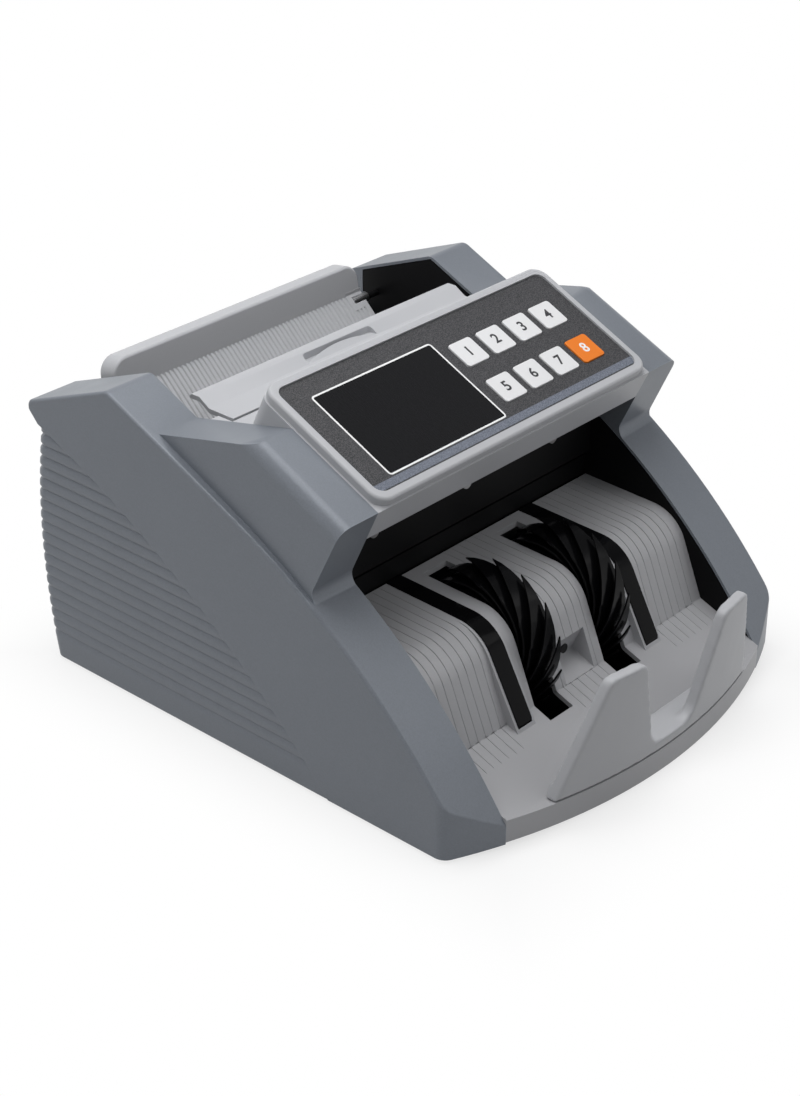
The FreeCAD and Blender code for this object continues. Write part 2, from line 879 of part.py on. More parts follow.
def display_housing():
    """Tilted bezel with its fascia, rear deck and hinge ears."""
    end = housing_length
    side = [(0, 0), (end, 0), (end, -housing_depth), (housing_step, -housing_depth)]
    side += [(housing_step, -fascia_height), (0, -fascia_height)]
    body = side_prism(side, -half_gap, half_gap)
    rear = [edge for edge in upright_edges(body) if edge.BoundBox.YMin > end - 1]
    body = body.makeFillet(bezel_corner, rear)
    wide = half_gap - bezel_margin
    bezel = rounded_box(-wide, wide, bezel_margin, end, 0, bezel_height, bezel_corner)
    rim = [edge for edge in bezel.Edges if edge.BoundBox.ZMin > bezel_height - 0.01]
    bezel = bezel.makeFillet(bezel_roll, rim)
    shell = body.fuse(bezel).removeSplitter()
    wall = housing_wall
    low = -housing_depth - margin
    inside = half_gap - bezel_margin - wall
    hollow = box(-inside, inside, bezel_margin + wall, end - wall, low, plate_under)
    corner = [edge for edge in upright_edges(hollow) if edge.BoundBox.YMin > end / 2]
    hollow = hollow.makeFillet(bezel_corner - wall, corner)
    low_y = overlay_bottom - overlay_play
    high_y = overlay_bottom + overlay_length + overlay_play
    half = overlay_half_width + overlay_play
    recess = rounded_box(-half, half, low_y, high_y, overlay_z, bezel_height + 1, overlay_corner)
    frame = screen_frame
    x0, x1 = screen_left + frame, screen_left + screen_width - frame
    y0, y1 = screen_bottom + frame, screen_bottom + screen_length - frame
    window = box(x0, x1, y0, y1, plate_under - 1, bezel_height)
    holes = [key_block(x, y, plate_under - 1, bezel_height, key_play) for x, y in key_places]
    shell = shell.cut([hollow, recess, window] + holes)
    shell = on_panel(union([shell] + board_posts()))
    join_y = panel_point(end - wall, -housing_depth)[0]
    deck = box(-half_gap, half_gap, join_y, deck_y, deck_z - deck_wall, deck_z)
    ear_y = deck_y + ear_length
    ears = pair(half_gap - ear_width, half_gap, deck_y - 1, ear_y, deck_z - ear_depth, deck_z)
    bore = rod_x(flap_pin_radius + shaft_play, -half_gap, half_gap, flap_pivot_y, flap_pivot_z)
    return union([shell, deck, ears.cut(bore)])


def panel_overlay():
    """Thin printed sheet round the screen and the keys."""
    half = overlay_half_width
    high_y = overlay_bottom + overlay_length
    top = overlay_z + overlay_wall
    sheet = rounded_box(-half, half, overlay_bottom, high_y, overlay_z, top, overlay_corner - overlay_play)
    right = screen_left + screen_width
    high = screen_bottom + screen_length
    cutters = [box(screen_left, right, screen_bottom, high, overlay_z - 1, top + 1)]
    cutters += [key_block(x, y, overlay_z - 1, top + 1, key_play) for x, y in key_places]
    return on_panel(sheet.cut(cutters))


def screen_window():
    right = screen_left + screen_width
    high = screen_bottom + screen_length
    return on_panel(box(screen_left, right, screen_bottom, high, overlay_z, overlay_z + overlay_wall))


def display_board():
    """Circuit board of the panel with the screen module on it."""
    half = overlay_half_width - board_margin
    low_y = overlay_bottom + board_margin
    high_y = overlay_bottom + overlay_length - board_margin
    board = box(-half, half, low_y, high_y, -board_drop - board_wall, -board_drop)
    right = screen_left + screen_width + screen_frame
    high = screen_bottom + screen_length + screen_frame
    low = screen_bottom - screen_frame
    module = box(screen_left - screen_frame, right, low, high, -board_drop, plate_under)
    return on_panel(union([board, module]))


def key_cap(x, y):
    """One key with its retaining flange and stem."""
    top = overlay_z + overlay_wall + key_rise
    flange_top = plate_under - key_flange_drop
    flange_low = flange_top - key_flange_wall
    cap = key_block(x, y, flange_low, top, 0)
    rim = [edge for edge in cap.Edges if edge.BoundBox.ZMin > top - 0.01]
    cap = cap.makeFillet(key_rise / 2, rim)
    half = key_size / 2 + key_flange
    flange = box(x - half, x + half, y - half, y + half, flange_low, flange_top)
    stem_low = -board_drop + key_travel + key_play
    stem = rod_z(post_radius, stem_low, flange_low + 1, x, y)
    return on_panel(union([cap, flange, stem]))


# Feed cover and hopper plate


def finger_scoop(low):
    """Crescent groove with a straight rear wall and a bowed front edge."""
    half, back = scoop_half_width, scoop_wall_y
    right, left = V(half, back, low), V(-half, back, low)
    near_right, near_left = V(half, back - scoop_end_run, low), V(-half, back - scoop_end_run, low)
    bow = Part.Arc(near_left, V(0, back - scoop_mid_run, low), near_right).toShape()
    rim = Part.makePolygon([near_right, right, left, near_left])
    groove = Part.Face(Part.Wire([bow] + rim.Edges)).extrude(AXIS_Z * margin)
    corners = [edge for edge in upright_edges(groove) if edge.BoundBox.YMin > back - edge_reach]
    return groove.makeFillet(scoop_corner, corners)


def feed_cover():
    """Hinged lid with a raised back edge and a finger scoop."""
    high = deck_z + flap_rise
    top = [(flap_front_y, deck_z), (flap_fold_y, deck_z), (flap_rise_y, high), (flap_back_y, high)]
    low = [(flap_back_y, high - flap_skirt), (flap_back_y - flap_wall, high - flap_skirt)]
    low += [(flap_back_y - flap_wall, high - flap_wall), (flap_rise_y, high - flap_wall)]
    low += [(flap_fold_y, deck_z - flap_wall), (flap_front_y, deck_z - flap_wall)]
    half = flap_half_width
    lid = side_prism(top + low, -half, half)
    lid = lid.makeFillet(flap_edge_round, edges_along_x(lid, flap_back_y, high, edge_reach))
    skirt_x = half - flap_skirt_end
    lid = lid.cut(pair(skirt_x, half, flap_rise_y, flap_back_y, high - flap_skirt, high - flap_wall))
    reach = scoop_half_width + flap_wall
    pad_y = scoop_wall_y - scoop_end_run - flap_wall
    pad_low = high - scoop_depth - scoop_floor
    pad_back = flap_back_y - flap_wall / 2
    pad = side_prism([(pad_y, pad_low), (pad_back, pad_low), (pad_back, high - flap_wall / 2),
                      (flap_rise_y, high - flap_wall / 2), (flap_fold_y, deck_z - flap_wall / 2),
                      (pad_y, deck_z - flap_wall / 2)], -reach, reach)
    parts = [lid.fuse(pad).cut(finger_scoop(high - scoop_depth))]
    inner = half - ear_length
    pin_end = half_gap - ear_width + flap_pin_reach
    knuckle = rod_x(flap_knuckle, inner, half, flap_pivot_y, flap_pivot_z)
    pin = rod_x(flap_pin_radius, inner, pin_end, flap_pivot_y, flap_pivot_z)
    return union(parts + [knuckle, pin, mirrored(knuckle), mirrored(pin)])


def on_ramp(shape):
    """Move a piece drawn flat onto the sloping hopper ramp."""
    shape = shape.copy()
    shape.rotate(V(0, 0, 0), AXIS_X, ramp_angle)
    shape.translate(V(0, crease_y, crease_z))
    return shape


def ramp_comb():
    """Outline of the ribbed ramp, seen along its slope."""
    count = int(2 * hopper_half_width / ramp_rib_pitch) - 1
    first = -count * ramp_rib_pitch / 2
    points = [(-hopper_half_width, -ramp_wall), (-hopper_half_width, 0)]
    for index in range(count):
        x = first + index * ramp_rib_pitch
        floor_x = x + ramp_rib_flank
        end_x = floor_x + ramp_rib_floor
        points += [(x, 0), (floor_x, -ramp_rib_depth)]
        points += [(end_x, -ramp_rib_depth), (end_x + ramp_rib_flank, 0)]
    points += [(hopper_half_width, 0), (hopper_half_width, -ramp_wall)]
    return points


def hopper_plate():
    """Ribbed ramp with an upright lip and its hinge bosses."""
    half = hopper_half_width
    ramp = on_ramp(front_prism(ramp_comb(), -ramp_length, 0))
    lip = box(-half, half, 0, lip_thickness, -ramp_wall, lip_height)
    corner = []
    for edge in lip.Edges:
        limits = edge.BoundBox
        if limits.XLength < 0.01 and limits.ZLength < 0.01 and limits.ZMin > 1:
            corner.append(edge)
    lip = lip.makeFillet(lip_corner, corner)
    rim = [edge for edge in lip.Edges if edge.BoundBox.ZMax > 1 and edge.BoundBox.YLength < 0.01]
    lip = lip.makeFillet(lip_edge_round, rim)
    skin = lip_skin
    inner = half - skin
    pocket = box(-inner, inner, skin, lip_thickness - skin, -margin, lip_height - skin)
    lip = lip.cut(pocket)
    lip.rotate(V(0, 0, 0), AXIS_X, -lip_lean)
    lip.translate(V(0, crease_y, crease_z))
    inner = half - hopper_boss_width
    boss = rod_x(hopper_boss, inner, half, hopper_pivot_y, hopper_pivot_z)
    pin_bore = hopper_pin_radius + bush_play
    seat = rod_x(pin_bore, half - hopper_pin_seat, half + 1, hopper_pivot_y, hopper_pivot_z)
    front = on_ramp(box(-half, half, -ramp_length, margin, 0, margin)).common(
        box(-half, half, 0, crease_y, 0, crease_z + margin))
    boss = boss.cut(front)
    solid = union([ramp, lip, boss, mirrored(boss)])
    return solid.cut([seat, mirrored(seat)])


def hopper_pins():
    start = hopper_half_width - hopper_pin_seat
    end = hopper_half_width + hopper_pin_rise
    pin = rod_x(hopper_pin_radius, start, end, hopper_pivot_y, hopper_pivot_z)
    bore = rod_x(hopper_pin_bore, start - 1, end + 1, hopper_pivot_y, hopper_pivot_z)
    pin = pin.cut(bore)
    return group([pin, mirrored(pin)])


def feed_bed():
    """Fixed plate that carries the notes from the ramp to the feed rollers."""
    top = -ramp_length - bed_gap
    bed = on_ramp(box(-half_gap, half_gap, top - bed_length, top, -ramp_wall, 0))
    grow = guide_side
    x0 = feed_roller_x - roller_width / 2 - grow
    x1 = feed_roller_x + roller_width / 2 + grow
    window = rod_x(feed_radius + grow, x0, x1, feed_y, feed_z)
    shaft_way = rod_x(shaft_radius + grow, -half_gap, half_gap, feed_y, feed_z)
    return bed.cut([window, mirrored(window), shaft_way])


# Stacker tray


def offset_line(points, inset):
    """Move an open run of (y, z) points sideways by an inset."""
    lines = []
    for start, end in zip(points, points[1:]):
        length = math.hypot(end[0] - start[0], end[1] - start[1])
        normal = ((end[1] - start[1]) / length * inset, -(end[0] - start[0]) / length * inset)
        first = (start[0] - normal[0], start[1] - normal[1])
        last = (end[0] - normal[0], end[1] - normal[1])
        lines.append((first, last))
    moved = [lines[0][0]]
    for (a, b), (c, d) in zip(lines, lines[1:]):
        run = (b[0] - a[0], b[1] - a[1])
        other = (d[0] - c[0], d[1] - c[1])
        cross = run[0] * other[1] - run[1] * other[0]
        along = ((c[0] - a[0]) * other[1] - (c[1] - a[1]) * other[0]) / cross
        moved.append((a[0] + run[0] * along, a[1] + run[1] * along))
    return moved + [lines[-1][1]]


def floor_height(y):
    """Height of the tray's sloping floor at a given depth."""
    share = (y - tray_foot_y) / (tray_floor_y - tray_foot_y)
    return tray_foot_z + share * (tray_floor_z - tray_foot_z)


def tray_solid(inset, back, floor, half, foot_y):
    """Everything under the tray surface moved down by an inset."""
    front = front_y - margin
    surface = [(back, tray_top_z), (tray_edge_y, tray_edge_z), (foot_y, floor_height(foot_y))]
    surface += [(tray_floor_y, tray_floor_z), (front, tray_floor_z)]
    moved = offset_line(surface, inset)
    solid = side_prism(moved + [(front, floor), (back, floor)], -half, half)
    solid = solid.makeFillet(tray_round - inset, edges_along_x(solid, *moved[1], edge_reach))
    if foot_y == tray_foot_y:
        solid = solid.makeFillet(tray_foot_round + inset, edges_along_x(solid, *moved[2], edge_reach))
    return solid


def surface_layer(outer, inner, foot_y, end_y):
    """Thin layer along the tray surface between two insets."""
    layer = tray_solid(outer, tray_back_y, 0, half_gap, foot_y)
    layer = layer.cut(tray_solid(inner, tray_back_y + 1, -1, half_gap + 1, foot_y))
    return layer.common(box(-half_gap, half_gap, end_y, tray_back_y, tray_lift, tray_top_z + margin))


def strip_band(outer, inner, end_y):
    """Part of the layer along a rail that lies under or in a guide strip."""
    layer = surface_layer(outer, inner, rail_foot_y, end_y)
    top = tray_top_z + margin
    return layer.common(box(strip_inner_x, strip_inner_x + strip_width, rail_foot_y, tray_back_y, 0, top))


def tray_grooves():
    """Fine grooves that run from the back to the front of the tray."""
    layer = surface_layer(-groove_depth, groove_depth, tray_foot_y, groove_end_y)
    places = [groove_pitch * (index + 0.5) for index in range(centre_groove_count)]
    x = strip_inner_x + strip_width + groove_pitch
    while x < half_gap - groove_pitch:
        places.append(x)
        x += groove_pitch
    slabs = []
    for x in places:
        slabs.append(pair(x, x + groove_width, groove_end_y, tray_back_y, 0, tray_top_z + margin))
    return layer.common(group(slabs))


stop_base_z = tray_floor_z + stop_lift


stop_back_y = front_y + stop_base_depth
stop_foot_y = stop_back_y - stop_foot_back


def niche(grow):
    """Small hollow at the foot of the hump, or the solid that lines it."""
    half = niche_half_width + grow
    if grow:
        points = [(niche_top_y - grow, niche_top_z + grow), (niche_back_y, niche_top_z + grow)]
        points += [(niche_back_y, niche_inner_z - 2 * grow), (tray_foot_y, tray_foot_z - grow)]
    else:
        points = [(niche_top_y, niche_top_z), (niche_inner_y, niche_inner_z), (tray_foot_y, tray_foot_z)]
        points += [(tray_foot_y - margin, tray_foot_z), (tray_foot_y - margin, niche_top_z)]
    return side_prism(points, -half, half)


def stacker_tray():
    """Hump and floor that catch the counted notes."""
    top = tray_top_z + margin
    full = tray_solid(0, tray_back_y, tray_lift, half_gap, tray_foot_y)
    disc = front_disc(0, -margin, top)
    wall = tray_wall
    hollow = tray_solid(wall, tray_back_y + margin, -margin, half_gap - wall, tray_foot_y)
    hollow = hollow.common(front_disc(wall, -margin, top))
    rail = tray_solid(0, tray_back_y, tray_lift, half_gap, rail_foot_y).cut(hollow)
    x0 = strip_inner_x - rail_side
    x1 = strip_inner_x + strip_width + rail_side
    rail = rail.common(box(x0, x1, rail_foot_y - 1, tray_back_y, tray_floor_z, top))
    lining = niche(wall).common(full)
    tray = union([full.common(disc).cut(hollow), rail, mirrored(rail), lining])
    cutters = [box(-half_gap, half_gap, base_front_y - seat_gap, 0, -margin, base_top), niche(0)]
    low = tray_floor_z - margin / 2
    cutters.append(pair(slot_inner_x, slot_inner_x + slot_width, slot_front_y, slot_back_y, low, top))
    channel = strip_band(-strip_seat, strip_seat, rail_foot_y + strip_lip)
    cutters += [channel, mirrored(channel), tray_grooves()]
    x0 = stop_foot_x - stop_foot_width / 2 - slide_play
    x1 = stop_foot_x + stop_foot_width / 2 + slide_play
    y0 = stop_foot_y - stop_foot_length - stop_travel - slide_play
    cutters.append(pair(x0, x1, y0, stop_foot_y + slide_play, tray_lift, top))
    cutters.append(rod_y(sensor_radius + bush_play, sensor_front_y, niche_back_y + 1, 0, sensor_z))
    cutters.append(rod_x(shaft_radius + guide_side, -half_gap, half_gap, wheel_y, wheel_z))
    return tray.cut(cutters)


def guide_strips():
    end_y = rail_foot_y + strip_lip + strip_end_gap
    strip = strip_band(-strip_rise, strip_wall - strip_rise, end_y)
    return group([strip, mirrored(strip)])


def stack_sensor():
    """Small eye in the niche at the front of the hump."""
    back = niche_back_y + collar_wall
    eye = rod_y(sensor_radius, sensor_front_y, back, 0, sensor_z)
    collar = rod_y(sensor_radius + collar_rise, niche_back_y, back, 0, sensor_z)
    return union([eye, collar])


def stop_profile():
    """Front outline of the stop: two fins joined by a low bridge."""
    low, top = stop_base_z, stop_base_z + stop_height
    share = stop_base_height / stop_height
    bridge_x = fin_foot_inner + (fin_top_inner - fin_foot_inner) * share
    right = [(fin_foot_outer, low), (fin_top_outer, top), (fin_top_inner, top)]
    right.append((bridge_x, low + stop_base_height))
    left = [(-x, z) for x, z in reversed(right)]
    slab = front_prism(right + left, front_y - 2 * margin, front_y + 2 * margin)
    corner, bend = [], []
    for edge in slab.Edges:
        limits = edge.BoundBox
        if limits.XLength < 0.01 and limits.ZLength < 0.01:
            if limits.ZMin > top - 1:
                corner.append(edge)
            elif limits.ZMin > low + 1:
                bend.append(edge)
    return slab.makeFillet(fin_corner, corner).makeFillet(stop_bridge_round, bend)


def note_stop():
    """Two leaning fins on a bowed base that slides on the tray."""
    low, high = stop_base_z, stop_base_z + stop_base_height
    half = fin_foot_outer
    base = front_disc(0, low, high).common(box(-half, half, front_y - 1, stop_back_y, low, high))
    grow = stop_height * math.tan(math.radians(stop_lean))
    centre = V(0, front_centre_y, low)
    outer = Part.makeCone(front_radius, front_radius + grow, stop_height, centre, AXIS_Z)
    inner_radius = front_radius - stop_wall
    inner = Part.makeCone(inner_radius, inner_radius + grow, stop_height, centre, AXIS_Z)
    fins = stop_profile().common(outer).cut(inner)
    parts = [base.common(stop_profile()), fins]
    under = tray_floor_z - tray_wall - stop_lift
    for side in (-1, 1):
        x0 = side * stop_foot_x - stop_foot_width / 2
        x1 = side * stop_foot_x + stop_foot_width / 2
        y0, y1 = stop_foot_y - stop_foot_length, stop_foot_y
        parts.append(box(x0, x1, y0, y1, under - stop_head_wall, low + 1))
        parts.append(box(x0 - stop_head, x1 + stop_head, y0, y1, under - stop_head_wall, under))
    return union(parts)


# Turning parts


def finger(start):
    """One swirled finger of a stacker wheel, between the hub and the rim."""
    outer, inner = [], []
    for step in range(finger_steps + 1):
        share = step / finger_steps
        turn = math.radians(start + finger_sweep * share)
        climb = share * (1 - finger_curl) + share ** 3 * finger_curl
        radius = wheel_hub - finger_wall + (wheel_radius - wheel_hub + finger_wall) * climb
        thin = radius - finger_wall * (1 - share * finger_thinning)
        outer.append(V(0, wheel_y - radius * math.cos(turn), wheel_z + radius * math.sin(turn)))
        inner.append(V(0, wheel_y - thin * math.cos(turn), wheel_z + thin * math.sin(turn)))
    corners = outer + inner[::-1]
    return Part.Face(Part.makePolygon(corners + corners[:1]))


wheel_x = slot_inner_x + (slot_width - wheel_width) / 2


def finger_bevel(start):
    """Block that cuts the end of one finger to a point on its right side."""
    turn = math.radians(start + finger_sweep)
    out = V(0, -math.cos(turn), math.sin(turn))
    ahead = V(0, math.sin(turn), math.cos(turn))
    tip = V(wheel_x + wheel_width, wheel_y, wheel_z) + out * wheel_radius
    run = AXIS_X * wheel_width + ahead * finger_taper
    side = ahead * wheel_width - AXIS_X * finger_taper
    side = side * (wheel_radius / side.Length)
    low = out * (wheel_hub - wheel_radius)
    high = out * finger_wall
    corners = [tip + run + low, tip + run + high, tip - run - run + high, tip - run - run + low]
    return Part.Face(Part.makePolygon(corners + corners[:1])).extrude(side)


def stacker_wheel():
    """Right stacker wheel: hub with swirled fingers that end in points."""
    hub = rod_x(wheel_hub, wheel_x, wheel_x + wheel_width, wheel_y, wheel_z)
    parts = [hub]
    for index in range(finger_count):
        start = finger_phase + 360 * index / finger_count
        face = finger(start)
        face.translate(V(wheel_x, 0, 0))
        parts.append(face.extrude(V(wheel_width, 0, 0)).cut(finger_bevel(start)))
    wheel = union(parts)
    return wheel.cut(rod_x(shaft_radius + bush_play, 0, half_case, wheel_y, wheel_z))


pulley_x = plate_outer + bush_flange_wall + pulley_gap
second_x = pulley_x + pulley_width + flange_wall


def shaft(y, z, left, right, collars):
    """Shaft with collars that hold the pieces on it in place."""
    parts = [rod_x(shaft_radius, left, right, y, z)]
    for x0, x1 in collars:
        parts.append(rod_x(shaft_radius + collar_rise, x0, x1, y, z))
    return union(parts)


def roller_pair(radius, x, y, z):
    """Two equal rubber rollers on one shaft."""
    roller = rod_x(radius, x - roller_width / 2, x + roller_width / 2, y, z)
    rim = [edge for edge in roller.Edges if edge.Length > radius and edge.BoundBox.XLength < 0.01]
    roller = roller.makeChamfer(shaft_hole, rim)
    roller = roller.cut(rod_x(shaft_radius + bush_play, 0, half_case, y, z))
    return group([roller, mirrored(roller)])


def pulley(x0, width, y, z, bore):
    """Flanged belt pulley."""
    parts = [rod_x(pulley_radius, x0, x0 + width, y, z)]
    for x in (x0, x0 + width - flange_wall):
        parts.append(rod_x(pulley_radius + flange_rise, x, x + flange_wall, y, z))
    return union(parts).cut(rod_x(bore, x0 - 1, x0 + width + 1, y, z))


def belt(start, end, x0):
    """Belt that runs round two equal pulleys."""
    solids = []
    for radius in (pulley_radius + belt_play + belt_wall, pulley_radius + belt_play):
        run = (end[0] - start[0], end[1] - start[1])
        length = math.hypot(*run)
        side = (-run[1] / length * radius, run[0] / length * radius)
        x = x0 + flange_wall + belt_edge / 2
        corners = [(start[0] + side[0], start[1] + side[1]), (end[0] + side[0], end[1] + side[1])]
        corners += [(end[0] - side[0], end[1] - side[1]), (start[0] - side[0], start[1] - side[1])]
        wide = pulley_width - 2 * flange_wall - belt_edge
        ends = [rod_x(radius, x, x + wide, *start), rod_x(radius, x, x + wide, *end)]
        solids.append(union([side_prism(corners, x, x + wide)] + ends))
    return solids[0].cut(solids[1])


def roller_collars(x):
    """Collars on the inner side of both rollers."""
    edge = x - roller_width / 2
    return [(edge - collar_wall, edge), (-edge, -edge + collar_wall)]


shaft_right = plate_outer + bush_flange_wall + shaft_end
counting_end = pulley_x + 2 * pulley_width + flange_wall
pulley_stop = [(-pulley_x, -pulley_x + collar_wall / 2)]


def motor(x0, y, z):
    """Motor can with a bore for its rotor shaft."""
    can = rod_x(motor_radius, x0, x0 + motor_length, y, z)
    rim = [edge for edge in can.Edges if edge.BoundBox.XLength < 0.01]
    can = can.makeChamfer(shaft_hole, rim)
    return can.cut(rod_x(motor_shaft_radius + shaft_play, x0 - 1, x0 + motor_length - motor_end, y, z))


def rotor(y, z):
    """Rotor shaft and pulley of a motor on the right."""
    start = half_gap - motor_length + 2 * motor_end
    axle = rod_x(motor_shaft_radius, start, pulley_x + pulley_width, y, z)
    return union([axle, pulley(pulley_x, pulley_width, y, z, motor_shaft_radius / 2)])


# Note path and electronics

guide_top = counting_z + counting_radius - path_height
upper_low = guide_top + guide_gap
guide_front_y = throat_y + throat_wall + 1


def note_guide(low, axis_z, radius):
    """Flat guide plate with windows for a pair of rollers."""
    plate = box(-half_gap, half_gap, guide_front_y, guide_back_y, low, low + guide_wall)
    x0 = roller_x - roller_width / 2 - guide_side
    x1 = roller_x + roller_width / 2 + guide_side
    window = rod_x(radius + guide_side, x0, x1, counting_y, axis_z)
    return plate.cut([window, mirrored(window)])


def lower_guide():
    apron = box(-half_gap, half_gap, guide_front_y, guide_front_y + guide_wall, tray_top_z, guide_top)
    plate = note_guide(guide_top - guide_wall, counting_z, counting_radius)
    return union([plate, apron])


def sensor_board():
    y0 = counting_y + pinch_radius + guide_side
    low = upper_low + guide_wall
    board = box(-roller_x, roller_x, y0, guide_back_y, low, low + board_wall)
    head = box(-roller_x / 2, roller_x / 2, y0 + 1, guide_back_y - 1, low, low + board_drop)
    return union([board, head])


throat_top = panel_point(housing_wall, -fascia_height)[1] - seat_gap
throat_front = panel_point(housing_wall, -fascia_height)[0] + seat_gap


def throat_panel():
    """Black wall and ceiling of the note pocket."""
    back = throat_y + throat_wall
    wall = box(-half_gap, half_gap, throat_y, back, upper_low, throat_top)
    ceiling = box(-half_gap, half_gap, throat_front, back, throat_top - throat_wall, throat_top)
    return union([wall, ceiling])


def case_screws():
    """Screw heads on the throat panel and on the rear cover."""
    heads = []
    z = (upper_low + throat_top) / 2
    for x in (-half_gap * 2 / 3, 0, half_gap * 2 / 3):
        heads.append(rod_y(screw_radius, throat_y - screw_head, throat_y, x, z))
    for x in (-half_gap + foot_radius, half_gap - foot_radius):
        for z in (foot_height + foot_radius, rear_cover_top - 2 * foot_radius):
            heads.append(rod_y(screw_radius, rear_face, rear_face + screw_head, x, z))
    return group(heads)


bracket_y = retard_y - retard_radius - seat_gap - bracket_wall
retard_z = feed_z + math.sqrt((feed_radius + retard_radius + nip_gap) ** 2 - (feed_y - retard_y) ** 2)


def retard_bracket():
    """Cross bar with the arms and the pin of the retard roller."""
    half = retard_width / 2
    low = retard_z - retard_radius / 2
    bar = box(-half_gap, half_gap, bracket_y, bracket_y + bracket_wall, low, low + bracket_height)
    parts = [bar]
    for x in (-half - bracket_wall, half):
        end = retard_y + 2 * retard_pin
        arm_low, arm_high = retard_z - 2 * retard_pin, retard_z + 2 * retard_pin
        parts.append(box(x, x + bracket_wall, bracket_y, end, arm_low, arm_high))
    parts.append(rod_x(retard_pin, -half, half, retard_y, retard_z))
    return union(parts)


def retard_roller():
    half = retard_width / 2
    roller = rod_x(retard_radius, -half, half, retard_y, retard_z)
    return roller.cut(rod_x(retard_pin + bush_play, -half, half, retard_y, retard_z))


def main_board():
    low = base_top + main_board_lift
    top = low + board_wall
    x1 = main_board_x + main_board_width
    y1 = supply_y + main_board_depth
    pitch = (main_board_width - 2 * chip_margin - chip_size) / (chip_count - 1)
    parts = [box(main_board_x, x1, supply_y, y1, low, top)]
    for index in range(chip_count):
        x = main_board_x + chip_margin + index * pitch
        y = supply_y + chip_margin
        parts.append(box(x, x + chip_size, y, y + chip_size, top, top + board_drop))
    socket_y = y1 - chip_size / 2
    socket = box(main_board_x + chip_size, x1 - chip_size, socket_y, y1 - 1, top, top + 2 * board_drop)
    return union(parts + [socket])


def power_supply():
    """Boxed supply with cooling fins on top."""
    x1 = supply_x + supply_width
    y1 = supply_y + supply_depth
    top = base_top + supply_height
    case = box(supply_x, x1, supply_y, y1, base_top, top)
    grooves = []
    pitch = rear_slot_pitch
    for index in range(1, int(supply_width / pitch)):
        x = supply_x + index * pitch
        wide = rear_slot_height / 2
        grooves.append(box(x, x + wide, supply_y + pitch, y1 - pitch, top - pitch / 2, top + 1))
    return case.cut(grooves)


right_cover = side_cover()
save("right_side_cover", right_cover)
save("left_side_cover", mirrored(right_cover))
right_plate = inner_plate()
save("right_inner_plate", right_plate)
save("left_inner_plate", mirrored(right_plate))
save("shaft_bushings", bushings())
save("base_pan", base_pan())
save("rubber_feet", rubber_feet())
save("rear_cover", rear_cover())
save("power_inlet", power_inlet())
save("inlet_pins", inlet_pins())
save("switch_frame", switch_frame())
save("switch_rocker", switch_rocker())
save("gap_knob", gap_knob())
save("display_housing", display_housing())
save("panel_overlay", panel_overlay())
save("screen_window", screen_window())
save("display_board", display_board())
for number, place in enumerate(key_places, 1):
    save("key_" + str(number), key_cap(*place))
save("feed_cover", feed_cover())
save("hopper_plate", hopper_plate())
save("hopper_pins", hopper_pins())
save("feed_bed", feed_bed())
save("stacker_tray", stacker_tray())
save("guide_strips", guide_strips())
save("stack_sensor", stack_sensor())
save("note_stop", note_stop())
right_wheel = stacker_wheel()
save("right_stacker_wheel", right_wheel)
left_wheel = right_wheel.copy()
left_wheel.translate(V(-2 * wheel_x - wheel_width, 0, 0))
save("left_stacker_wheel", left_wheel)
wheel_collars = [(wheel_x - collar_wall, wheel_x), (-wheel_x, -wheel_x + collar_wall)]
stacker_stop = [(pulley_x - collar_wall / 2, pulley_x)]
stacker_end = pulley_x + pulley_width
save("stacker_shaft", shaft(wheel_y, wheel_z, -shaft_right, stacker_end, wheel_collars + stacker_stop))
save("stacker_pulley", pulley(pulley_x, pulley_width, wheel_y, wheel_z, shaft_radius + bush_play))
collars = roller_collars(roller_x)
save("counting_shaft", shaft(counting_y, counting_z, -counting_end, shaft_right, collars + pulley_stop))
save("counting_rollers", roller_pair(counting_radius, roller_x, counting_y, counting_z))
double = 2 * pulley_width + flange_wall
bore = shaft_radius + bush_play
save("counting_pulley", mirrored(pulley(pulley_x, double, counting_y, counting_z, bore)))
save("pinch_shaft", shaft(counting_y, pinch_z, -shaft_right, shaft_right, collars))
save("pinch_rollers", roller_pair(pinch_radius, roller_x, counting_y, pinch_z))
feed_end = second_x + pulley_width
feed_stop = [(-second_x, -second_x + collar_wall / 2)]
feed_collars = roller_collars(feed_roller_x)
save("feed_shaft", shaft(feed_y, feed_z, -feed_end, shaft_right, feed_collars + feed_stop))
save("feed_rollers", roller_pair(feed_radius, feed_roller_x, feed_y, feed_z))
save("feed_pulley", mirrored(pulley(second_x, pulley_width, feed_y, feed_z, bore)))
save("main_motor", motor(-half_gap, main_motor_y, main_motor_z))
save("main_rotor", mirrored(rotor(main_motor_y, main_motor_z)))
save("stacker_motor", mirrored(motor(-half_gap, stacker_motor_y, stacker_motor_z)))
save("stacker_rotor", rotor(stacker_motor_y, stacker_motor_z))
counting_axis = (counting_y, counting_z)
first_belt = belt((main_motor_y, main_motor_z), counting_axis, pulley_x)
second_belt = belt(counting_axis, (feed_y, feed_z), second_x)
third_belt = belt((stacker_motor_y, stacker_motor_z), (wheel_y, wheel_z), pulley_x)
save("drive_belts", group([mirrored(first_belt), mirrored(second_belt), third_belt]))
save("lower_guide", lower_guide())
save("upper_guide", note_guide(upper_low, pinch_z, pinch_radius))
save("sensor_board", sensor_board())
save("throat_panel", throat_panel())
save("case_screws", case_screws())
save("retard_bracket", retard_bracket())
save("retard_roller", retard_roller())
save("main_board", main_board())
save("power_supply", power_supply())
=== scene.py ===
import json
import math
import bmesh
import bpy
from mathutils import Matrix, Vector


